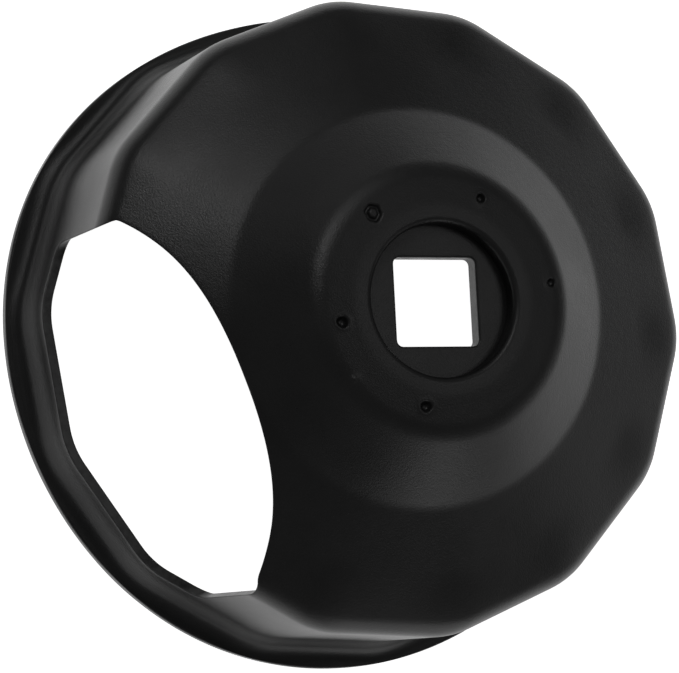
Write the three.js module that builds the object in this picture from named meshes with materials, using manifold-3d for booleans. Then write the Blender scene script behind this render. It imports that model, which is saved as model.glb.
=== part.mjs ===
// Cap-style oil filter wrench: a pressed steel cup with fourteen shallow flutes, a turned-out rim,
// a side window and a raised boss, with a square-holed drive plate welded inside the boss.
// Millimetres, +Z up. The open mouth stands on z = 0, the drive end is up, the window faces -Y.

import * as THREE from 'three';
import { mergeVertices } from 'three/addons/utils/BufferGeometryUtils.js';
import Module from 'manifold-3d';

// ---- Driving dimensions ----

const SHEET = 1.1;                 // thickness of the pressed sheet
const OVERALL_HEIGHT = 35.5;
const RIM_RADIUS = 38.3;           // the rim is round

const FLUTES = 14;
const WALL_APOTHEM = 35.2;         // axis to the outside of a flat
const FLUTE_ROUNDING = 11;         // radius of the rounded corner between two flats
const FLUTE_FADE = [2, 7];         // the corners die out over the dome between these insets

const SHOULDER_HEIGHT = 22.35;     // where the wall's and the dome's straight lines would meet
const BOSS_FOOT = [21.9, 28.9];    // radius and height of the crease between dome and boss
const BOSS_CREASE = [14.3, 35];     // the same for the crease between the boss's side and its top
const BOSS_CROWN_RADIUS = 10.2;    // the boss top is flat inside this, and falls away a little outside it
const HOLE_RADIUS = 8.3;           // round hole in the boss, with a turned-in lip

const FLARE_RADIUS = 36.4;         // where the flat rim and the flare above it would meet
const FLARE_HEIGHT = 3.8;          // where the flare and the wall would meet

const RIM_BEND = 1.8;              // bend radii, all measured on the outer face
const FLARE_BEND = 5;
const SHOULDER_BEND = 3.2;
const BOSS_FOOT_BEND = 5;
const BOSS_CREASE_BEND = 4.5;
const BOSS_CROWN_BEND = 8;
const LIP_BEND = 0.7;
const SMALLEST_BEND = 0.15;        // the inner side of a bend is never sharper than this

const WINDOW_WIDTH = 42.6;
const WINDOW_SILL = 6.3;           // height of the lower edge
const WINDOW_CROWN = 28.8;         // height of the highest point of the arched upper edge
const WINDOW_ARCH = 39.4;          // radius of that arch
const WINDOW_CORNER = 1.6;         // radius of the two lower corners
const WINDOW_TOP_CORNERS = [2.2, 0.5];   // radii where the arch meets the sides, towards +X and -X
const WINDOW_TILT = 1.2;           // degrees that the outline is turned about its middle

const DRIVE_SQUARE = 9.6;          // female 3/8 inch square
const DRIVE_CORNER = 0.7;
const DRIVE_TURN = -21.3;          // degrees that the square is turned about the axis
const PLATE_TOP = 33.5;
const PLATE_THICKNESS = 2;
const PLATE_RADIUS = 14;
const PLATE_SHOWING = 8.2;         // radius of what shows through the hole in the boss

// Projection welds, as [angle in degrees, distance from the axis]; they aren't evenly spaced.
const WELDS = [[77, 13.1], [134, 12.1], [198, 12], [260, 12], [325.5, 11.7]];
const WELD_RADIUS = 1.1;
const WELD_REACH = 12.3;           // a nugget's centre stays this near the axis, under the flat sheet
const PIT_RADIUS = 0.6;            // mouth of the pressed pit over each weld
const PIT_DEPTH = 0.45;
const LARGE_PIT = 2;               // index of the weld with the larger, flat-bottomed pit
const LARGE_PIT_RADIUS = 0.9;

const STEPS_PER_FLUTE = 6;
const STEPS_PER_BEND = 3;
const STEPS_PER_SIDE = 10;

// ---- Section of the sheet ----

// Corners of the outer face from the rim to the hole, as [distance from the axis, height, bend radius].
const OUTER_CORNERS = [
  [RIM_RADIUS, SHEET, 0],
  [FLARE_RADIUS, SHEET, RIM_BEND],
  [WALL_APOTHEM, FLARE_HEIGHT, FLARE_BEND],
  [WALL_APOTHEM, SHOULDER_HEIGHT, SHOULDER_BEND],
  [...BOSS_FOOT, BOSS_FOOT_BEND],
  [...BOSS_CREASE, BOSS_CREASE_BEND],
  [BOSS_CROWN_RADIUS, OVERALL_HEIGHT, BOSS_CROWN_BEND],
  [HOLE_RADIUS, OVERALL_HEIGHT, LIP_BEND],
  [HOLE_RADIUS, PLATE_TOP, 0],
];

const toVector = ([x, z]) => new THREE.Vector2(x, z);
const leftNormal = (d) => new THREE.Vector2(-d.y, d.x);

// Turning from direction a to direction b: positive to the left, negative to the right.
const turnBetween = (a, b) => Math.atan2(a.cross(b), a.dot(b));

// The same corners moved sideways, to the left of the path, by the sheet's thickness.
function offsetCorners(corners, distance) {
  const points = corners.map(toVector);
  return corners.map(([, , bend], i) => {
    const into = points[i].clone().sub(points[Math.max(i - 1, 0)]).normalize();
    const away = points[Math.min(i + 1, points.length - 1)].clone().sub(points[i]).normalize();
    if (i === 0 || i === points.length - 1) {
      const end = points[i].clone().addScaledVector(leftNormal(i === 0 ? away : into), distance);
      return [end.x, end.y, 0];
    }
    const turn = turnBetween(into, away);
    const mitre = leftNormal(into).add(leftNormal(away)).normalize();
    const moved = points[i].clone().addScaledVector(mitre, distance / Math.cos(turn / 2));
    return [moved.x, moved.y, Math.max(SMALLEST_BEND, bend - Math.sign(turn) * distance)];
  });
}

// Round each corner of the path with an arc of its bend radius.
function bendPath(corners) {
  const points = corners.map(toVector);
  const path = [points[0]];
  for (let i = 1; i < points.length - 1; i++) {
    const into = points[i].clone().sub(points[i - 1]).normalize();
    const away = points[i + 1].clone().sub(points[i]).normalize();
    const turn = turnBetween(into, away);
    const bend = corners[i][2];
    const tangent = bend * Math.tan(Math.abs(turn) / 2);
    const start = points[i].clone().addScaledVector(into, -tangent);
    const centre = start.clone().addScaledVector(leftNormal(into), Math.sign(turn) * bend);
    for (let step = 0; step <= STEPS_PER_BEND; step++) {
      path.push(start.clone().rotateAround(centre, (turn * step) / STEPS_PER_BEND));
    }
  }
  path.push(points[points.length - 1]);
  return path;
}

// Extra points along the dome, so that the flutes can die out there.
function addDomeSteps(path, wall) {
  const stepped = [];
  path.forEach((point, i) => {
    const before = path[i - 1];
    if (before) {
      for (const inset of [(FLUTE_FADE[0] + FLUTE_FADE[1]) / 2, FLUTE_FADE[1]]) {
        const x = wall - inset;
        if (before.x > x && point.x < x) {
          stepped.push(before.clone().lerp(point, (before.x - x) / (before.x - point.x)));
        }
      }
    }
    stepped.push(point);
  });
  return stepped;
}

// ---- Fluted cup ----

const FLUTE_ANGLE = (2 * Math.PI) / FLUTES;

// A corner between two flats points along -Y, so a flat's middle lies half a flute away from it.
const FIRST_FLAT = -Math.PI / 2 + FLUTE_ANGLE / 2;

// Radius at an angle of a fourteen-sided outline with rounded corners.
function fluteRadius(angle, apothem, rounding) {
  const half = FLUTE_ANGLE / 2;
  const fromFlat = Math.abs(THREE.MathUtils.euclideanModulo(angle - FIRST_FLAT + half, FLUTE_ANGLE) - half);
  const cornerCentre = (apothem - rounding) / Math.cos(half);
  if (fromFlat <= Math.atan2(cornerCentre * Math.sin(half), apothem)) {
    return apothem / Math.cos(fromFlat);
  }
  const fromCorner = half - fromFlat;
  const across = cornerCentre * Math.sin(fromCorner);
  return cornerCentre * Math.cos(fromCorner) + Math.sqrt(rounding ** 2 - across ** 2);
}

// One closed ring of points for a point of the section: fluted near the wall, round elsewhere.
function sectionRing(point, wall, rounding) {
  const roundness = point.x >= RIM_RADIUS ? 1 : THREE.MathUtils.smoothstep(wall - point.x, ...FLUTE_FADE);
  const steps = FLUTES * STEPS_PER_FLUTE;
  return Array.from({ length: steps }, (_, i) => {
    const angle = FIRST_FLAT + (i * 2 * Math.PI) / steps;
    const radius = roundness === 1
      ? point.x
      : THREE.MathUtils.lerp(fluteRadius(angle, point.x, rounding + point.x - wall), point.x, roundness);
    return new THREE.Vector3(radius * Math.cos(angle), radius * Math.sin(angle), point.y);
  });
}

// Skin that joins each ring to the next and the last one back to the first.
function loftClosed(rings) {
  const size = rings[0].length;
  const positions = rings.flat().flatMap((p) => [p.x, p.y, p.z]);
  const index = [];
  rings.forEach((_, r) => {
    const here = r * size;
    const next = ((r + 1) % rings.length) * size;
    for (let i = 0; i < size; i++) {
      const j = (i + 1) % size;
      index.push(here + i, here + j, next + j, here + i, next + j, next + i);
    }
  });
  const geometry = new THREE.BufferGeometry();
  geometry.setAttribute('position', new THREE.Float32BufferAttribute(positions, 3));
  geometry.setIndex(index);
  return geometry;
}

function makeCupBlank() {
  const skin = (corners, wall, rounding) => {
    const path = addDomeSteps(bendPath(corners), wall);
    return path.map((point) => sectionRing(point, wall, rounding));
  };
  const innerCorners = offsetCorners(OUTER_CORNERS, SHEET);
  innerCorners[0][0] = RIM_RADIUS;
  const outer = skin(OUTER_CORNERS, WALL_APOTHEM, FLUTE_ROUNDING);
  const inner = skin(innerCorners, WALL_APOTHEM - SHEET, FLUTE_ROUNDING - SHEET);
  return loftClosed([...outer, ...inner.reverse()]);
}

// Straight-sided cutter for the window, wider than the wall is deep, from inside to outside.
function makeWindowCutter() {
  const half = WINDOW_WIDTH / 2;
  const archCentre = WINDOW_CROWN - WINDOW_ARCH;
  const [right, left] = WINDOW_TOP_CORNERS.map((radius) => {
    const x = half - radius;
    const rise = Math.sqrt((WINDOW_ARCH - radius) ** 2 - x ** 2);
    return { x, z: archCentre + rise, radius, angle: Math.atan2(rise, x) };
  });
  const outline = new THREE.Shape();
  outline.absarc(half - WINDOW_CORNER, WINDOW_SILL + WINDOW_CORNER, WINDOW_CORNER, -Math.PI / 2, 0);
  outline.absarc(right.x, right.z, right.radius, 0, right.angle);
  outline.absarc(0, archCentre, WINDOW_ARCH, right.angle, Math.PI - left.angle);
  outline.absarc(-left.x, left.z, left.radius, Math.PI - left.angle, Math.PI);
  outline.absarc(-half + WINDOW_CORNER, WINDOW_SILL + WINDOW_CORNER, WINDOW_CORNER, Math.PI, 1.5 * Math.PI);
  const inside = 16;
  const geometry = new THREE.ExtrudeGeometry(outline, {
    depth: RIM_RADIUS,
    bevelEnabled: false,
    curveSegments: 6,
  });
  const middle = (WINDOW_SILL + WINDOW_CROWN) / 2;
  geometry.rotateX(Math.PI / 2).translate(0, -inside, -middle);
  return geometry.rotateY(THREE.MathUtils.degToRad(WINDOW_TILT)).translate(0, 0, middle);
}

// Pit that the welding press leaves in the outer face over one weld.
function makePitCutter(index) {
  const radius = index === LARGE_PIT ? LARGE_PIT_RADIUS : PIT_RADIUS;
  const floorRadius = index === LARGE_PIT ? 0.8 * radius : 0.3 * radius;
  const above = 0.5;
  const slope = (radius - floorRadius) / PIT_DEPTH;
  const geometry = new THREE.CylinderGeometry(radius + slope * above, floorRadius, PIT_DEPTH + above, 8);
  geometry.rotateX(Math.PI / 2);
  const [x, y] = weldPlace(index, BOSS_CREASE[0]);
  return geometry.translate(x, y, bossTopHeight(Math.hypot(x, y)) + (above - PIT_DEPTH) / 2);
}

function bossTopHeight(distance) {
  const share = (distance - BOSS_CROWN_RADIUS) / (BOSS_CREASE[0] - BOSS_CROWN_RADIUS);
  return THREE.MathUtils.lerp(OVERALL_HEIGHT, BOSS_CREASE[1], share);
}

function weldPlace(index, reach) {
  const [degrees, distance] = WELDS[index];
  const angle = THREE.MathUtils.degToRad(degrees);
  const radius = Math.min(distance, reach);
  return [radius * Math.cos(angle), radius * Math.sin(angle)];
}

// ---- Cutting with manifold-3d ----

const wasm = await Module();
wasm.setup();

function toSolid(geometry) {
  const bare = geometry.clone();
  bare.deleteAttribute('normal');
  bare.deleteAttribute('uv');
  const merged = mergeVertices(bare, 1e-4);
  return new wasm.Manifold(new wasm.Mesh({
    numProp: 3,
    vertProperties: new Float32Array(merged.attributes.position.array),
    triVerts: new Uint32Array(merged.index.array),
  }));
}

function toGeometry(solid) {
  const mesh = solid.getMesh();
  const geometry = new THREE.BufferGeometry();
  geometry.setAttribute('position', new THREE.BufferAttribute(new Float32Array(mesh.vertProperties), 3));
  geometry.setIndex(new THREE.BufferAttribute(new Uint32Array(mesh.triVerts), 1));
  geometry.computeVertexNormals();
  return geometry;
}

// ---- Parts ----

const blackCoat = { color: 0x1c1c1d, roughness: 0.45, metalness: 0.1 };

function addPart(group, name, geometry, look) {
  const mesh = new THREE.Mesh(geometry, new THREE.MeshStandardMaterial(look));
  mesh.name = name;
  group.add(mesh);
  return mesh;
}

function makeFilterCup() {
  let cup = toSolid(makeCupBlank()).subtract(toSolid(makeWindowCutter()));
  WELDS.forEach((_, index) => {
    cup = cup.subtract(toSolid(makePitCutter(index)));
  });
  return toGeometry(cup);
}

// Outline of the drive square, anticlockwise, with points along its rounded corners and its sides.
function driveSquare() {
  const flat = DRIVE_SQUARE / 2 - DRIVE_CORNER;
  const corners = [[1, 1], [-1, 1], [-1, -1], [1, -1]].map(([sx, sy], i) => {
    const start = (i * Math.PI) / 2;
    const corner = new THREE.EllipseCurve(
      sx * flat, sy * flat, DRIVE_CORNER, DRIVE_CORNER, start, start + Math.PI / 2);
    return corner.getPoints(STEPS_PER_BEND);
  });
  return corners.flatMap((corner, i) => {
    const from = corner[corner.length - 1];
    const to = corners[(i + 1) % corners.length][0];
    const side = Array.from({ length: STEPS_PER_SIDE - 1 }, (_, k) => (
      from.clone().lerp(to, (k + 1) / STEPS_PER_SIDE)));
    return [...corner, ...side];
  });
}

// The top face is divided where the lip hides it, so that the part that shows is a face of its own.
function makeDrivePlate() {
  const square = driveSquare();
  const circle = (radius) => square.map((p) => p.clone().setLength(radius));
  const raise = (outline, z) => outline.map((p) => new THREE.Vector3(p.x, p.y, z));
  const geometry = loftClosed([
    raise(circle(PLATE_RADIUS), 0),
    raise(circle(PLATE_RADIUS), PLATE_THICKNESS),
    raise(circle(PLATE_SHOWING), PLATE_THICKNESS),
    raise(square, PLATE_THICKNESS),
    raise(square, 0),
  ]);
  geometry.computeVertexNormals();
  return geometry.rotateZ(THREE.MathUtils.degToRad(DRIVE_TURN));
}

// A nugget fills the gap between the plate and the sheet, so the sheet is cut away from its top.
function makeWeldNugget(index) {
  const height = OVERALL_HEIGHT - SHEET - PLATE_TOP;
  const [x, y] = weldPlace(index, WELD_REACH);
  const geometry = new THREE.CylinderGeometry(WELD_RADIUS, WELD_RADIUS, height, 16).rotateX(Math.PI / 2);
  geometry.translate(x, y, PLATE_TOP + height / 2);
  return toGeometry(toSolid(geometry).subtract(toSolid(makeCupBlank())));
}

const wrench = new THREE.Group();

addPart(wrench, 'filter_cup', makeFilterCup(), blackCoat);

addPart(wrench, 'drive_plate', makeDrivePlate(), blackCoat).position.z = PLATE_TOP - PLATE_THICKNESS;

WELDS.forEach((_, index) => {
  addPart(wrench, `weld_nugget_${index + 1}`, makeWeldNugget(index), blackCoat);
});

export default wrench;
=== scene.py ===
"""Looks for the cap-style oil filter wrench: a pressed, fluted cup with a side window, its drive plate
and the welds between them, on a plain pale floor. Mesh work is in millimetres, and each mesh is scaled
to metres when it is made."""

import math

import bpy
import numpy as np
from mathutils import Matrix, Vector
from mathutils.geometry import delaunay_2d_cdt


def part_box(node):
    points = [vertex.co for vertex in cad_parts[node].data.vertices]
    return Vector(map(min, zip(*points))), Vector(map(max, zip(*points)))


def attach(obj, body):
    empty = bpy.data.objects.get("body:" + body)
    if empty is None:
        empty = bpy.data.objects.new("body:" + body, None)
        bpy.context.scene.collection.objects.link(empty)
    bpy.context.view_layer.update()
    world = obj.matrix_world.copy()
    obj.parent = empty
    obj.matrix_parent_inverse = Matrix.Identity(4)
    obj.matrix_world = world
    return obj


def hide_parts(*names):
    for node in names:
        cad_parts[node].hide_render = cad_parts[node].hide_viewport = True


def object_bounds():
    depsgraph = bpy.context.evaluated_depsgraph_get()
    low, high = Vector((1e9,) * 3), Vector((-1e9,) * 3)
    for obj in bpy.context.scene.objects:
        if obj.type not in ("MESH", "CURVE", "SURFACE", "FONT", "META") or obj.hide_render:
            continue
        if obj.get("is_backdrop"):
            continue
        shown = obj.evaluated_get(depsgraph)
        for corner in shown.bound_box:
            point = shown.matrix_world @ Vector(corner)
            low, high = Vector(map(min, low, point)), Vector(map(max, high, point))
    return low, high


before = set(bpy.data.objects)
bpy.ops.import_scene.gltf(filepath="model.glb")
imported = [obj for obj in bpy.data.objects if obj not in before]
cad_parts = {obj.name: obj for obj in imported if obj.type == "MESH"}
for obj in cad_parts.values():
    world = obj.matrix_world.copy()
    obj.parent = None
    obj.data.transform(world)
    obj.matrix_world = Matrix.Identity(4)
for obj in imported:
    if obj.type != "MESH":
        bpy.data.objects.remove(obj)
cad_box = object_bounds()

MM = 0.001


def box_mm(node):
    low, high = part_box(node)
    return np.array(low) / MM, np.array(high) / MM


# ---- Sizes from the frame ----

CUP_HIGH = box_mm("filter_cup")[1]
PLATE_LOW, PLATE_HIGH = box_mm("drive_plate")
HEIGHT = CUP_HIGH[2]
RIM_RADIUS = CUP_HIGH[0]
PLATE_RADIUS = PLATE_HIGH[0]

# ---- Driving dimensions of the pressed sheet, as in the CAD, in millimetres ----

SHEET = 1.1
FLUTES = 14
WALL_APOTHEM = 35.2
FLUTE_ROUNDING = 11.0
FLUTE_FADE = (2.0, 7.0)
FLANGE_START = 37.55  # outside this the flange is round, not fluted
HOLE_RADIUS = 8.3
LIP_BEND = 0.7
BOSS_FOOT = (21.9, 28.9)
BOSS_CREASE = (14.3, 35.0)
BOSS_CROWN_RADIUS = 10.2  # the boss top falls away a little outside this

# Outer face from the rim to the foot of the lip: distance from the axis, height, bend radius.
OUTER_CORNERS = [
    (RIM_RADIUS, SHEET, 0.3),
    (36.4, SHEET, 1.8),
    (WALL_APOTHEM, 3.8, 5.0),
    (WALL_APOTHEM, 22.35, 3.2),
    (*BOSS_FOOT, 5.0),
    (*BOSS_CREASE, 4.5),
    (BOSS_CROWN_RADIUS, HEIGHT, 8.0),
    (HOLE_RADIUS, HEIGHT, LIP_BEND),
    (HOLE_RADIUS, PLATE_HIGH[2], 0.12),
]
EDGE_ROUNDING = 0.15  # smallest radius of an inner bend or a cut edge

WINDOW_WIDTH = 42.6
WINDOW_SILL = 6.3
WINDOW_CROWN = 28.8
WINDOW_ARCH = 39.4
WINDOW_CORNER = 1.6
WINDOW_TOP_CORNERS = (2.2, 0.5)  # towards +X and towards -X
WINDOW_TILT = math.radians(1.2)
WINDOW_ROLLOVER = 0.25  # how far the punched edge is rounded over
ARCH_ROLLOVER = 0.8  # and where the punch dragged the slanting dome down with it

DRIVE_HALF = 4.8
DRIVE_CORNER = 0.7
DRIVE_TURN = math.radians(-21.3)

# Pits over the welds: angle in degrees, distance from the axis, mouth radius, depth.
PITS = [
    (77.0, 13.1, 0.5, 0.5),
    (134.0, 12.1, 0.52, 0.6),
    (198.0, 12.0, 0.92, 0.42),
    (260.0, 12.0, 0.62, 0.65),
    (325.5, 11.7, 0.62, 0.65),
]
RING_PIT = 2  # this one is a ring with its middle left standing
NICK = (287.0, 13.6)  # small raised nick on the edge of the boss: angle, distance from the axis
NICK_HEIGHT = 0.3
NICK_SPREAD = 0.34

# The rim came out of the press a little out of round: waves round it, size and place of the first crest.
RIM_WAVES = [(3, 0.30, math.radians(-7.7)), (4, 0.20, math.radians(37.5))]

STEPS_PER_FLUTE = 24
LINE_STEP = 0.6
ARC_STEP = 0.3
ARC_TURN = math.radians(9)

FLUTE_ANGLE = 2 * math.pi / FLUTES
FIRST_FLAT = -math.pi / 2 + FLUTE_ANGLE / 2  # a corner between two flats points along -Y
SEAM = FIRST_FLAT + 4 * FLUTE_ANGLE  # where the skin's columns start, clear of the window and the pits


# ---- Section of the sheet ----


def turned_left(d):
    return np.array([-d[1], d[0]])


def unit(v):
    return v / np.linalg.norm(v)


def turn_between(a, b):
    return math.atan2(a[0] * b[1] - a[1] * b[0], a @ b)


def inner_corners():
    """The outer corners moved to the left of the path by the sheet's thickness."""
    points = [np.array(c[:2]) for c in OUTER_CORNERS]
    moved = []
    for i, (_, _, bend) in enumerate(OUTER_CORNERS):
        into = unit(points[i] - points[i - 1]) if i else unit(points[1] - points[0])
        away = unit(points[i + 1] - points[i]) if i + 1 < len(points) else into
        turn = turn_between(into, away)
        mitre = unit(turned_left(into) + turned_left(away))
        x, z = points[i] + mitre * SHEET / math.cos(turn / 2)
        moved.append((x, z, max(EDGE_ROUNDING, bend - math.copysign(SHEET, turn))))
    moved[0] = (RIM_RADIUS, 0.0, EDGE_ROUNDING)
    moved[-1] = (*moved[-1][:2], EDGE_ROUNDING)
    return moved


def section_pieces(corners):
    """Straight lines and arcs of a closed path that starts half way up the rim's edge."""
    points = [np.array([RIM_RADIUS, SHEET / 2])] + [np.array(c[:2]) for c in corners]
    points.append(points[0])
    at = points[0]
    for i in range(1, len(points) - 1):
        into = unit(points[i] - points[i - 1])
        away = unit(points[i + 1] - points[i])
        turn = turn_between(into, away)
        bend = corners[i - 1][2]
        start = points[i] - into * bend * math.tan(abs(turn) / 2)
        centre = start + turned_left(into) * math.copysign(bend, turn)
        yield ("line", at, start)
        yield ("arc", start, centre, turn)
        at = rotated(start, centre, turn)
    yield ("line", at, points[0])


def rotated(point, centre, angle):
    c, s = math.cos(angle), math.sin(angle)
    x, z = point - centre
    return centre + np.array([c * x - s * z, s * x + c * z])


def sample_section():
    """Rows of the skin along the closed path. Returns row positions and a finer list (position, x, z)."""
    outer = list(OUTER_CORNERS)
    inner = inner_corners()
    fine = [np.array([RIM_RADIUS, SHEET / 2])]
    along = [0.0]
    rows = [0.0]
    turn_back = None
    for count, piece in enumerate(section_pieces(outer + inner[::-1])):
        if piece[0] == "line":
            length = float(np.linalg.norm(piece[2] - piece[1]))
            steps = max(1, math.ceil(length / LINE_STEP))
        else:
            length = abs(piece[3]) * float(np.linalg.norm(piece[1] - piece[2]))
            steps = max(2, math.ceil(length / ARC_STEP), math.ceil(abs(piece[3]) / ARC_TURN))
        if count == 2 * len(outer):
            turn_back = along[-1] + length / 2  # the foot of the lip, where outside becomes inside
        parts = steps * 6
        base = along[-1]
        for k in range(1, parts + 1):
            share = k / parts
            if piece[0] == "line":
                fine.append(piece[1] + (piece[2] - piece[1]) * share)
            else:
                fine.append(rotated(piece[1], piece[2], piece[3] * share))
            along.append(base + length * share)
        rows += [base + length * k / steps for k in range(1, steps + 1)]
    return np.array(rows[:-1]), np.array(along), np.array(fine), turn_back


ROWS, ALONG, FINE, TURN_BACK = sample_section()


def smooth(t):
    t = np.clip(t, 0, 1)
    return t * t * (3 - 2 * t)


def flute_radius(angle, apothem, rounding):
    """Radius at an angle of the fourteen-sided outline with rounded corners."""
    half = FLUTE_ANGLE / 2
    from_flat = np.abs(np.mod(angle - FIRST_FLAT + half, FLUTE_ANGLE) - half)
    corner_centre = (apothem - rounding) / math.cos(half)
    flat = apothem / np.cos(from_flat)
    from_corner = half - from_flat
    across = corner_centre * np.sin(from_corner)
    rounded = corner_centre * np.cos(from_corner) + np.sqrt(rounding**2 - across**2)
    return np.where(from_flat <= np.arctan2(corner_centre * math.sin(half), apothem), flat, rounded)


def skin_point(s, angle):
    """Point of the sheet's skin at path position s and an angle round the axis."""
    s, angle = np.broadcast_arrays(np.asarray(s, float), np.asarray(angle, float))
    x = np.interp(s, ALONG, FINE[:, 0])
    z = np.interp(s, ALONG, FINE[:, 1])
    inside = s > TURN_BACK
    wall = np.where(inside, WALL_APOTHEM - SHEET, WALL_APOTHEM)
    rounding = np.where(inside, FLUTE_ROUNDING - SHEET, FLUTE_ROUNDING)
    flange = (x - FLANGE_START) / (RIM_RADIUS - FLANGE_START)
    dome = smooth((wall - x - FLUTE_FADE[0]) / (FLUTE_FADE[1] - FLUTE_FADE[0]))
    roundness = np.clip(np.maximum(flange, dome), 0, 1)
    near_wall = np.maximum(x, wall - FLUTE_FADE[1])
    fluted = flute_radius(angle, near_wall, rounding + near_wall - wall)
    radius = fluted + (x - fluted) * roundness
    return np.stack([radius * np.cos(angle), radius * np.sin(angle), z], -1)


# ---- The window's outline ----


def window_outline():
    """Points and outward directions of the outline, anticlockwise as seen from outside, and uniform."""
    half = WINDOW_WIDTH / 2
    arch_z = WINDOW_CROWN - WINDOW_ARCH
    low_x, low_z = half - WINDOW_CORNER, WINDOW_SILL + WINDOW_CORNER
    ends = []
    for corner in WINDOW_TOP_CORNERS:
        x = half - corner
        rise = math.sqrt((WINDOW_ARCH - corner) ** 2 - x**2)
        ends.append((x, arch_z + rise, corner, math.atan2(rise, x)))
    right, left = ends
    arcs = [
        (low_x, low_z, WINDOW_CORNER, -math.pi / 2, 0),
        (right[0], right[1], right[2], 0, right[3]),
        (0, arch_z, WINDOW_ARCH, right[3], math.pi - left[3]),
        (-left[0], left[1], left[2], math.pi - left[3], math.pi),
        (-low_x, low_z, WINDOW_CORNER, math.pi, 1.5 * math.pi),
    ]
    points, normals = [], []
    for x, z, radius, a0, a1 in arcs:
        for a in np.linspace(a0, a1, max(16, int(radius * (a1 - a0) / 0.05))):
            normals.append((math.cos(a), math.sin(a)))
            points.append((x + radius * math.cos(a), z + radius * math.sin(a)))
    points, normals = np.array(points + points[:1]), np.array(normals + normals[:1])
    length = np.concatenate([[0], np.cumsum(np.linalg.norm(np.diff(points, axis=0), axis=1))])
    count = int(length[-1] / 0.36)
    at = np.arange(count) * length[-1] / count
    points = np.stack([np.interp(at, length, points[:, k]) for k in (0, 1)], -1)
    normals = np.stack([np.interp(at, length, normals[:, k]) for k in (0, 1)], -1)
    return tilt(points, (WINDOW_SILL + WINDOW_CROWN) / 2), tilt(normals, 0)


def tilt(points, middle):
    """The outline is turned a little about its middle height."""
    c, s = math.cos(WINDOW_TILT), math.sin(WINDOW_TILT)
    x, z = points[:, 0], points[:, 1] - middle
    return np.stack([c * x + s * z, -s * x + c * z + middle], -1)


def find_on_skin(points, inside):
    """Path position and angle of the skin points in front (-Y) of the outline points (x, z)."""
    chosen = ALONG > TURN_BACK if inside else ALONG < TURN_BACK
    s_part, z_part = ALONG[chosen], FINE[chosen, 1]
    wall = WALL_APOTHEM - SHEET if inside else WALL_APOTHEM
    keep = (FINE[chosen, 0] > HOLE_RADIUS + 2 * SHEET) & (FINE[chosen, 0] < wall + 0.01)
    s_part, z_part = s_part[keep], z_part[keep]
    order = np.argsort(z_part)
    s = np.interp(points[:, 1], z_part[order], s_part[order])
    angle = np.full(len(points), -math.pi / 2)
    for _ in range(40):
        radius = np.linalg.norm(skin_point(s, angle)[:, :2], axis=1)
        angle = -np.arccos(np.clip(points[:, 0] / radius, -1, 1))
    return s, angle


# ---- Mesh building ----


class Builder:
    """Collects points, faces and the kind of each face."""

    def __init__(self):
        self.points = []
        self.faces = []
        self.kinds = []
        self.count = 0

    def add_points(self, points):
        points = np.asarray(points, float).reshape(-1, 3)
        self.points.append(points)
        first = self.count
        self.count += len(points)
        return np.arange(first, self.count)

    def add_faces(self, faces, kind=0):
        self.faces += [tuple(int(v) for v in f) for f in faces]
        self.kinds += [kind] * len(faces)

    def add_strip(self, rows, kind=0):
        """Quads between closed rows of point numbers."""
        for here, there in zip(rows[:-1], rows[1:]):
            self.add_faces(np.stack([here, np.roll(here, -1), np.roll(there, -1), there], -1), kind)

    def make(self, name, materials, shift=None):
        points = np.concatenate(self.points)
        if shift is not None:
            points = points + shift(points)
        used = np.unique(np.concatenate([np.array(f) for f in self.faces]))
        number = np.full(len(points), -1)
        number[used] = np.arange(len(used))
        mesh = bpy.data.meshes.new(name)
        mesh.from_pydata((points[used] * MM).tolist(), [], [[int(number[v]) for v in f] for f in self.faces])
        for material in materials:
            mesh.materials.append(material)
        mesh.polygons.foreach_set("material_index", self.kinds)
        mesh.polygons.foreach_set("use_smooth", [True] * len(mesh.polygons))
        mesh.validate()
        mesh.update()
        piece = bpy.data.objects.new(name, mesh)
        bpy.context.scene.collection.objects.link(piece)
        return piece


def inside_loop(points, loop):
    """Even-odd test of points against one closed loop."""
    x, y = points[:, 0][:, None], points[:, 1][:, None]
    x0, y0 = loop[:, 0], loop[:, 1]
    x1, y1 = np.roll(x0, -1), np.roll(y0, -1)
    crosses = (y0 > y) != (y1 > y)
    rise = np.where(y1 == y0, 1.0, y1 - y0)
    return (crosses & (x < x0 + (y - y0) * (x1 - x0) / rise)).sum(1) % 2 == 1


def nearest(points, loop):
    """Distance from each point to the nearest point of a finely sampled loop."""
    result = np.empty(len(points))
    for start in range(0, len(points), 2000):
        part = points[start : start + 2000]
        result[start : start + 2000] = np.sqrt(((part[:, None] - loop[None]) ** 2).sum(2).min(1))
    return result


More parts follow.
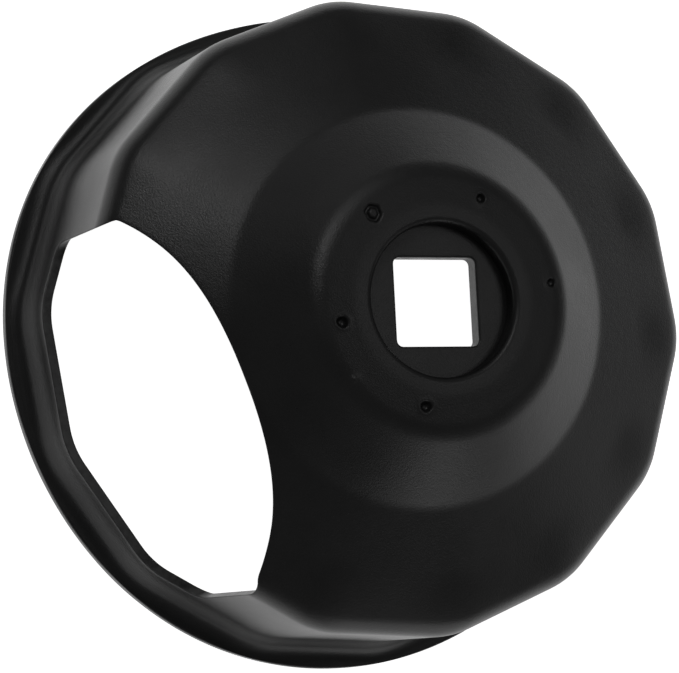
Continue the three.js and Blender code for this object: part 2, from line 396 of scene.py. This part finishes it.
class CupSkin:
    """The cup's closed skin as a grid of rows along the section and columns round the axis, with openings."""

    def __init__(self):
        self.builder = Builder()
        self.columns = FLUTES * STEPS_PER_FLUTE
        self.angles = SEAM + np.arange(self.columns) * 2 * math.pi / self.columns
        s, angle = np.meshgrid(ROWS, self.angles, indexing="ij")
        self.grid = self.builder.add_points(skin_point(s, angle)).reshape(s.shape)
        self.removed = np.zeros(s.shape, bool)

    def open(self, s_loop, angle_loop, ids, scale, margin):
        """Take cells away round a loop, and join what is left to the loop's points with triangles."""
        angle_loop = SEAM + np.mod(angle_loop - SEAM, 2 * math.pi)
        loop = np.stack([angle_loop * scale, s_loop], -1)
        near = self.cells_near(loop, scale, margin)
        boundary, edges = self.boundary_of(near)
        rows, cols = np.divmod(np.array(boundary), self.columns)
        outer = np.stack([self.angles[cols] * scale, ROWS[rows]], -1)
        coords = [Vector(p) for p in np.concatenate([loop, outer])]
        count = len(loop)
        place = {v: count + k for k, v in enumerate(boundary)}
        lines = [(k, (k + 1) % count) for k in range(count)]
        lines += [(place[a], place[b]) for a, b in edges]
        verts, _, faces, origin, _, _ = delaunay_2d_cdt(coords, lines, [], 0, 1e-7)
        numbers = np.concatenate([np.asarray(ids), self.grid.reshape(-1)[boundary]])
        centres = np.array([np.mean([verts[v][:] for v in f], axis=0) for f in faces])
        outside = ~inside_loop(centres, loop)
        row = np.clip(np.searchsorted(ROWS, centres[:, 1], side="right") - 1, 0, len(ROWS) - 1)
        step = 2 * math.pi / self.columns
        col = np.clip(((centres[:, 0] / scale - SEAM) / step).astype(int), 0, self.columns - 1)
        chosen = outside & near[row, col]
        self.builder.add_faces([[numbers[origin[v][0]] for v in f] for f, c in zip(faces, chosen) if c])
        self.removed |= near

    def cells_near(self, loop, scale, margin):
        """Cells with a corner inside the loop or nearer to it than the margin."""
        s, angle = np.meshgrid(ROWS, self.angles, indexing="ij")
        flat = np.stack([angle.ravel() * scale, s.ravel()], -1)
        low, high = loop.min(0) - 2 * margin, loop.max(0) + 2 * margin
        local = np.where(((flat > low) & (flat < high)).all(1))[0]
        hit = np.zeros(len(flat), bool)
        hit[local] = inside_loop(flat[local], loop) | (nearest(flat[local], loop) < margin)
        hit = hit.reshape(s.shape)
        down, right = np.roll(hit, -1, 0), np.roll(hit, -1, 1)
        return hit | down | right | np.roll(down, -1, 1)

    def boundary_of(self, cells):
        """Grid points and edges between the chosen cells and the others."""
        edges = []
        for i, j in zip(*np.where(cells)):
            i2, j2 = (i + 1) % len(ROWS), (j + 1) % self.columns
            sides = [
                (cells[i - 1, j], (i, j), (i, j2)),
                (cells[i2, j], (i2, j), (i2, j2)),
                (cells[i, j - 1], (i, j), (i2, j)),
                (cells[i, j2], (i, j2), (i2, j2)),
            ]
            for taken, a, b in sides:
                if not taken:
                    edges.append((a[0] * self.columns + a[1], b[0] * self.columns + b[1]))
        return sorted({v for e in edges for v in e}), edges

    def add_grid_faces(self):
        right = np.roll(self.grid, -1, 1)
        quads = np.stack([self.grid, right, np.roll(right, -1, 0), np.roll(self.grid, -1, 0)], -1)
        self.builder.add_faces(quads[~self.removed])


def rounded_rows(from_skin, edge, into_wall, steps):
    """Rows that leave the skin, turn over the edge on a smooth curve and run into the cut wall."""
    rows = []
    for t in np.linspace(0, 1, steps + 1):
        rows.append(from_skin * (1 - t) ** 2 + edge * 2 * t * (1 - t) + into_wall * t**2)
    return rows


ENTRY_STEPS = 5  # rows over the outer edge of the window, down its cut wall, and over its inner edge
CUT_STEPS = 5
LEAVE_STEPS = 4


def cut_window(skin):
    """Cut the window: a straight punched wall, rounded over outside and with a small burr inside."""
    outline, outward = window_outline()
    faces = {}
    for inside in (False, True):
        edge = skin_point(*find_on_skin(outline, inside))
        trial = skin_point(*find_on_skin(outline + outward * 0.02, inside))
        stretch = np.linalg.norm(trial - edge, axis=1) / 0.02
        rollover = WINDOW_ROLLOVER + (ARCH_ROLLOVER - WINDOW_ROLLOVER) * smooth(outward[:, 1] * 2)
        reach = (EDGE_ROUNDING if inside else rollover) / stretch
        s, angle = find_on_skin(outline + outward * reach[:, None], inside)
        faces[inside] = (edge, s, angle, skin_point(s, angle))
    edge, s_out, angle_out, start = faces[False]
    far_edge, s_in, angle_in, end = faces[True]
    depth = np.array([0.0, 1.0, 0.0])
    entry = rounded_rows(start, edge, edge + depth * WINDOW_ROLLOVER, ENTRY_STEPS)
    leave = rounded_rows(far_edge - depth * EDGE_ROUNDING, far_edge, end, LEAVE_STEPS)
    middle = [entry[-1] + (leave[0] - entry[-1]) * k / CUT_STEPS for k in range(1, CUT_STEPS)]
    rows = [skin.builder.add_points(r) for r in entry + middle + leave]
    first, last = ENTRY_STEPS - 2, ENTRY_STEPS + CUT_STEPS + 1  # the rows that the bare cut lies between
    skin.builder.add_strip(rows[: first + 1])
    skin.builder.add_strip(rows[first : last + 1], kind=1)
    skin.builder.add_strip(rows[last:])
    skin.open(s_out, angle_out, rows[0], 30.0, 0.35)
    skin.open(s_in, angle_in, rows[-1], 30.0, 0.35)


def boss_position(radius):
    """Path position on the outer face of the boss at a distance from the axis."""
    chosen = (ALONG < TURN_BACK) & (FINE[:, 0] > HOLE_RADIUS + 1) & (FINE[:, 0] < BOSS_CREASE[0] + 4)
    return np.interp(-radius, -FINE[chosen, 0], ALONG[chosen])


def pit_profile(radius, depth, ring):
    """Distance from the pit's middle and depth, from the mouth inwards."""
    if ring:
        groove = [(1.25, 0), (1.12, 0.05), (1.0, 0.35), (0.9, 0.85), (0.78, 1.0), (0.66, 0.9), (0.56, 0.45)]
        shape = groove + [(0.46, 0.16), (0.3, 0.06), (0.12, 0.1)]
    else:
        collar = [(1.5, -0.03), (1.25, -0.06), (1.08, 0.0)]
        shape = collar + [(0.95, 0.2), (0.8, 0.5), (0.6, 0.78), (0.4, 0.94), (0.2, 1.0)]
    return [(r * radius, d * depth) for r, d in shape]


def press_pit(skin, index):
    """Press one pit into the boss top: a cone with a raised collar, or a ring round a standing middle."""
    degrees, distance, radius, depth = PITS[index]
    angle = math.radians(degrees)
    middle = np.array([distance * math.cos(angle), distance * math.sin(angle)])
    sides = 40
    round_it = np.arange(sides) * 2 * math.pi / sides
    rng = np.random.default_rng(index)
    wobble = 1 + 0.05 * np.sin(2 * round_it + rng.uniform(0, 6))
    wobble = wobble + 0.03 * np.sin(3 * round_it + rng.uniform(0, 6))
    if index == RING_PIT:
        wobble = wobble + 0.05 * np.cos(6 * round_it)
    rows, first = [], None
    profile = pit_profile(radius, depth, index == RING_PIT)
    for reach, deep in [(profile[0][0] * 1.12, 0.0)] + profile:
        spread = reach * wobble
        xy = middle + np.stack([spread * np.cos(round_it), spread * np.sin(round_it)], -1)
        s = boss_position(np.hypot(xy[:, 0], xy[:, 1]))
        around = np.arctan2(xy[:, 1], xy[:, 0])
        points = skin_point(s, around)
        points[:, 2] -= deep
        rows.append(skin.builder.add_points(points))
        if first is None:
            first = (s, around)
    skin.builder.add_strip(rows)
    last = rows[-1]
    bottom = skin_point(boss_position(np.array([distance])), np.array([angle]))
    bottom[:, 2] -= profile[-1][1]
    centre = skin.builder.add_points(bottom)[0]
    skin.builder.add_faces(np.stack([last, np.roll(last, -1), np.full(sides, centre)], -1))
    skin.open(first[0], first[1], rows[0], 12.0, 0.16)


def press_marks(points):
    """Small movements of the finished skin: the rim's waves, the nick, and slight unevenness of pressing."""
    radius = np.hypot(points[:, 0], points[:, 1])
    angle = np.arctan2(points[:, 1], points[:, 0])
    radial = np.stack([np.cos(angle), np.sin(angle), np.zeros(len(points))], -1)
    reach = smooth((radius - WALL_APOTHEM - 1.2) / (RIM_RADIUS - WALL_APOTHEM - 1.2))
    reach = reach * smooth((3.2 - points[:, 2]) / 2)
    wave = sum(size * np.cos(count * (angle - crest)) for count, size, crest in RIM_WAVES)
    moved = radial * (reach * wave)[:, None]
    nick_angle = math.radians(NICK[0])
    across = points[:, :2] - NICK[1] * np.array([math.cos(nick_angle), math.sin(nick_angle)])
    bump = NICK_HEIGHT * np.exp(-((np.linalg.norm(across, axis=1) / NICK_SPREAD) ** 2))
    moved[:, 2] += np.where(points[:, 2] > HEIGHT - SHEET, bump, 0)
    return moved


def make_cup(materials):
    skin = CupSkin()
    cut_window(skin)
    for index in range(len(PITS)):
        press_pit(skin, index)
    skin.add_grid_faces()
    return skin.builder.make("cup_body", materials, press_marks)


# ---- Drive plate ----


def square_radius(angle, half, corner):
    """Radius at an angle of a rounded square."""
    folded = np.abs(np.mod(angle + math.pi / 4, math.pi / 2) - math.pi / 4)
    flat = half / np.cos(folded)
    centre = half - corner
    c, s = np.cos(folded), np.sin(folded)
    along = centre * (c + s)
    rounded = along + np.sqrt(np.maximum(along**2 - 2 * centre**2 + corner**2, 0))
    return np.where(half * np.tan(folded) <= centre, flat, rounded)


WALL_ROWS = 6  # steps down the wall of the square


def plate_rows():
    """Closed section of the plate: how far from the square to the round edge, offset, height."""
    top, bottom = PLATE_HIGH[2], PLATE_LOW[2]
    edge = 0.22
    rows = []
    for t in np.linspace(1, 0, 6):  # from the wall of the square over its rounded edge to the top face
        a = t * math.pi / 2
        rows.append((0, edge * (1 - math.sin(a)), top - edge * (1 - math.cos(a))))
    for t in np.linspace(0.04, 0.97, 26):
        rows.append((t, edge * (1 - t), top))
    for t in np.linspace(0, 1, 6):
        a = t * math.pi / 2
        rows.append((1, -edge * (1 - math.sin(a)), top - edge * (1 - math.cos(a))))
    rows += [(1, 0, top + (bottom - top) * k / 6) for k in range(2, 5)]
    for t in np.linspace(0, 1, 6):
        a = t * math.pi / 2
        rows.append((1, -edge * (1 - math.cos(a)), bottom + edge * (1 - math.sin(a))))
    for t in np.linspace(0.97, 0.04, 26):
        rows.append((t, edge * (1 - t), bottom))
    for t in np.linspace(0, 1, 6):
        a = t * math.pi / 2
        rows.append((0, edge * (1 - math.sin(a)), bottom + edge * (1 - math.cos(a))))
    rows += [(0, 0, bottom + (top - bottom) * k / WALL_ROWS) for k in range(1, WALL_ROWS)]
    return rows


def make_plate(materials):
    builder = Builder()
    count = 240
    angle = np.arange(count) * 2 * math.pi / count
    rows = []
    for share, offset, z in plate_rows():
        grown = offset * (share < 1)
        square = square_radius(angle, DRIVE_HALF + grown, DRIVE_CORNER + grown)
        radius = square + (PLATE_RADIUS + min(offset, 0) - square) * share
        turned = angle + DRIVE_TURN
        ring = np.stack([radius * np.cos(turned), radius * np.sin(turned), np.full(count, z)], -1)
        rows.append(builder.add_points(ring))
    rows = [r[::-1] for r in rows + rows[:1]]
    first = len(plate_rows()) - WALL_ROWS
    builder.add_strip(rows[: first + 1])
    builder.add_strip(rows[first:], kind=1)
    return builder.make("drive_square_plate", materials)


# ---- Weld nuggets ----


def make_nugget(index, materials):
    """A squeezed weld nugget: waisted, and spread where it has fused with the sheet and the plate."""
    low, high = box_mm(f"weld_nugget_{index + 1}")
    centre = (low + high) / 2
    radius = (high[0] - low[0]) / 2
    builder = Builder()
    sides = 40
    around = np.arange(sides) * 2 * math.pi / sides
    rng = np.random.default_rng(100 + index)
    uneven = 1 + 0.03 * np.sin(2 * around + rng.uniform(0, 6)) + 0.02 * np.sin(5 * around + rng.uniform(0, 6))
    rows = []
    for t in np.linspace(0, 1, 15):
        spread = radius * (0.86 + 0.11 * abs(2 * t - 1) ** 2.5)
        z = low[2] + (high[2] - low[2]) * t
        rows.append((spread, z))
    rings = []
    for spread, z in rows:
        xy = spread * uneven
        x, y = centre[0] + xy * np.cos(around), centre[1] + xy * np.sin(around)
        rings.append(builder.add_points(np.stack([x, y, np.full(sides, z)], -1)))
    builder.add_strip(rings)
    for ring, z, flip in ((rings[0], low[2], True), (rings[-1], high[2], False)):
        middle = builder.add_points([[centre[0], centre[1], z]])[0]
        fan = np.stack([ring, np.roll(ring, -1), np.full(sides, middle)], -1)
        builder.add_faces(fan[:, ::-1] if flip else fan)
    return builder.make(f"weld_{index + 1}", materials)


# ---- Materials ----


class Nodes:
    """Short names for making and joining shader nodes."""

    def __init__(self, name):
        self.material = bpy.data.materials.new(name)
        self.material.use_nodes = True
        self.tree = self.material.node_tree
        self.shader = self.tree.nodes["Principled BSDF"]
        self.place = self.add("ShaderNodeTexCoord").outputs["Object"]

    def add(self, kind, **settings):
        node = self.tree.nodes.new(kind)
        for key, value in settings.items():
            setattr(node, key, value)
        return node

    def join(self, a, b):
        self.tree.links.new(a, b)

    def noise(self, scale, detail=2.0, roughness=0.5, distortion=0.0):
        node = self.add("ShaderNodeTexNoise")
        self.join(self.place, node.inputs["Vector"])
        node.inputs["Scale"].default_value = scale
        node.inputs["Detail"].default_value = detail
        node.inputs["Roughness"].default_value = roughness
        node.inputs["Distortion"].default_value = distortion
        return node.outputs["Fac"]

    def spots(self, scale, size):
        """1 in small round spots scattered about, 0 elsewhere."""
        node = self.add("ShaderNodeTexVoronoi")
        self.join(self.place, node.inputs["Vector"])
        node.inputs["Scale"].default_value = scale
        return self.ramp(node.outputs["Distance"], (0.4 * size, 1.0), (size, 0.0))

    def ramp(self, value, start, end):
        """Map value from start[0]..end[0] to start[1]..end[1]."""
        node = self.add("ShaderNodeMapRange", interpolation_type="SMOOTHSTEP")
        self.join(value, node.inputs["Value"])
        for socket, number in zip(("From Min", "To Min", "From Max", "To Max"), (*start, *end)):
            node.inputs[socket].default_value = number
        return node.outputs["Result"]

    def math(self, operation, a, b):
        node = self.add("ShaderNodeMath", operation=operation)
        for socket, value in zip(node.inputs, (a, b)):
            if isinstance(value, float):
                socket.default_value = value
            else:
                self.join(value, socket)
        return node.outputs[0]

    def colours(self, value, dark, light):
        node = self.add("ShaderNodeValToRGB")
        self.join(value, node.inputs["Fac"])
        node.color_ramp.elements[0].color = (*dark, 1)
        node.color_ramp.elements[1].color = (*light, 1)
        return node.outputs["Color"]

    def bump(self, height, distance, strength=1.0, under=None):
        node = self.add("ShaderNodeBump")
        self.join(height, node.inputs["Height"])
        node.inputs["Distance"].default_value = distance
        node.inputs["Strength"].default_value = strength
        if under is not None:
            self.join(under, node.inputs["Normal"])
        return node.outputs["Normal"]


def black_coat(name, roughness, grain):
    """Thin satin black coat on steel: fine grain, faint orange peel, patches of more and less gloss."""
    n = Nodes(name)
    fine = n.noise(5200, 3, 0.6)
    patch = n.noise(95, 4, 0.55)
    broad = n.noise(24, 2, 0.5)
    tone = n.math("ADD", n.math("MULTIPLY", fine, 0.45), n.math("MULTIPLY", patch, 0.55))
    shade = n.ramp(tone, (0.3, 0.0), (0.7, 1.0))
    n.join(n.colours(shade, (0.005, 0.005, 0.0051), (0.009, 0.009, 0.0091)), n.shader.inputs["Base Color"])
    gloss = n.math("ADD", n.math("MULTIPLY", patch, 0.5), n.math("MULTIPLY", broad, 0.5))
    spots = n.spots(420, 0.035)
    rough = n.ramp(gloss, (0.35, roughness - 0.04), (0.65, roughness + 0.05))
    n.join(n.math("SUBTRACT", rough, n.math("MULTIPLY", spots, 0.12)), n.shader.inputs["Roughness"])
    peel = n.bump(n.noise(900, 2, 0.5), 0.000012, 1.0)
    speck = n.bump(spots, 0.00001, 1.0, peel)
    n.join(n.bump(fine, grain, 1.0, speck), n.shader.inputs["Normal"])
    n.shader.inputs["Specular IOR Level"].default_value = 0.3
    return n.material


def sheared_edge(name):
    """The punched edge of the sheet under the coat: streaks through the thickness, rougher where it tore."""
    n = Nodes(name)
    streaks = n.noise(1500, 3, 0.6)
    patches = n.noise(260, 4, 0.6, 0.4)
    blend = n.math("ADD", n.math("MULTIPLY", streaks, 0.5), n.math("MULTIPLY", patches, 0.5))
    shade = n.ramp(blend, (0.35, 0.0), (0.65, 1.0))
    n.join(n.colours(shade, (0.014, 0.014, 0.014), (0.05, 0.05, 0.05)), n.shader.inputs["Base Color"])
    n.join(n.ramp(blend, (0.3, 0.34), (0.7, 0.55)), n.shader.inputs["Roughness"])
    n.join(n.bump(blend, 0.00008, 1.0, n.bump(n.noise(5200, 2, 0.5), 0.00002)), n.shader.inputs["Normal"])
    return n.material


def floor_paint(name):
    """Plain pale floor, lit softly from within like a studio light table."""
    n = Nodes(name)
    n.join(n.colours(n.noise(6, 2, 0.5), (0.88, 0.88, 0.88), (0.9, 0.9, 0.9)), n.shader.inputs["Base Color"])
    n.shader.inputs["Roughness"].default_value = 0.8
    n.shader.inputs["Specular IOR Level"].default_value = 0.1
    n.shader.inputs["Emission Color"].default_value = (1, 1, 1, 1)
    n.shader.inputs["Emission Strength"].default_value = FLOOR_GLOW
    return n.material


# ---- Stage ----

FLOOR_GLOW = 1.0
FLOOR_HALF = 1.5  # metres
FLOOR_GAP = 0.0001
WORLD_STRENGTH = 0.16

CAMERA_AZIMUTH = math.radians(-95.35)
CAMERA_ELEVATION = math.radians(66.49)
CAMERA_ROLL = math.radians(-72.42)
CAMERA_DISTANCE = 0.33624
CAMERA_TARGET = Vector((0.00001, -0.00412, 0.01522))
CAMERA_LENS = 159.06  # on Blender's 36 mm sensor

# Soft lights: name, azimuth and elevation in degrees, distance and side in metres, power in watts.
LIGHTS = [
    ("key", 195, 53, 0.6, 0.12, 0.38),
    ("key_spread", 170, 50, 0.6, 0.3, 0.22),
    ("top", 85, 66, 0.6, 0.2, 0.16),
    ("right", 45, 12, 0.6, 0.3, 0.12),
    ("front", 0, 22, 0.6, 0.3, 0.08),
    ("front_low", 0, 5, 0.6, 0.3, 0.42),
]


def towards(azimuth, elevation):
    level = math.cos(elevation)
    return Vector((level * math.cos(azimuth), level * math.sin(azimuth), math.sin(elevation)))


def make_camera():
    away = towards(CAMERA_AZIMUTH, CAMERA_ELEVATION)
    level = Vector((0, 0, 1)).cross(away).normalized()
    up = away.cross(level) * math.cos(CAMERA_ROLL) + level * math.sin(CAMERA_ROLL)
    right = up.cross(away)
    camera = bpy.data.objects.new("camera", bpy.data.cameras.new("camera"))
    camera.data.lens = CAMERA_LENS
    camera.data.clip_start = 0.01
    turn = Matrix((right, up, away)).transposed().to_4x4()
    camera.matrix_world = Matrix.Translation(CAMERA_TARGET + away * CAMERA_DISTANCE) @ turn
    bpy.context.scene.collection.objects.link(camera)
    bpy.context.scene.camera = camera


def make_lights():
    for name, azimuth, elevation, distance, side, power in LIGHTS:
        light = bpy.data.lights.new(name, "AREA")
        light.shape = "DISK"
        light.size = side
        light.energy = power
        lamp = bpy.data.objects.new(name, light)
        away = towards(math.radians(azimuth), math.radians(elevation))
        turn = away.to_track_quat("Z", "Y").to_matrix().to_4x4()
        lamp.matrix_world = Matrix.Translation(away * distance) @ turn
        bpy.context.scene.collection.objects.link(lamp)


def make_floor():
    builder = Builder()
    cells = 24
    line = np.linspace(-FLOOR_HALF, FLOOR_HALF, cells + 1) / MM
    x, y = np.meshgrid(line, line, indexing="ij")
    ids = builder.add_points(np.stack([x, y, np.full(x.shape, -FLOOR_GAP / MM)], -1)).reshape(x.shape)
    builder.add_faces(np.stack([ids[:-1, :-1], ids[1:, :-1], ids[1:, 1:], ids[:-1, 1:]], -1).reshape(-1, 4))
    floor = builder.make("floor", [floor_paint("floor_paint")])
    floor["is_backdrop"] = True


def make_world():
    world = bpy.data.worlds.new("studio")
    world.use_nodes = True
    world.node_tree.nodes["Background"].inputs["Color"].default_value = (1, 1, 1, 1)
    world.node_tree.nodes["Background"].inputs["Strength"].default_value = WORLD_STRENGTH
    bpy.context.scene.world = world


def make_object():
    coat = black_coat("black_coat_cup", 0.35, 0.00003)
    edge = sheared_edge("sheared_edge_cup")
    cup = make_cup([coat, edge])
    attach(cup, "root")
    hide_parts("filter_cup")
    plate = make_plate([black_coat("black_coat_plate", 0.35, 0.00003), sheared_edge("sheared_edge_plate")])
    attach(plate, "root")
    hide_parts("drive_plate")
    for index in range(len(PITS)):
        nugget = make_nugget(index, [black_coat(f"black_coat_weld_{index + 1}", 0.5, 0.00005)])
        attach(nugget, "root")
        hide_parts(f"weld_nugget_{index + 1}")


make_object()
make_floor()
make_world()
make_lights()
make_camera()
bpy.context.scene.view_settings.view_transform = "Standard"

boxes = {"cad": cad_box, "visual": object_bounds()}
{k: [list(map(float, corner)) for corner in v] for k, v in boxes.items()}
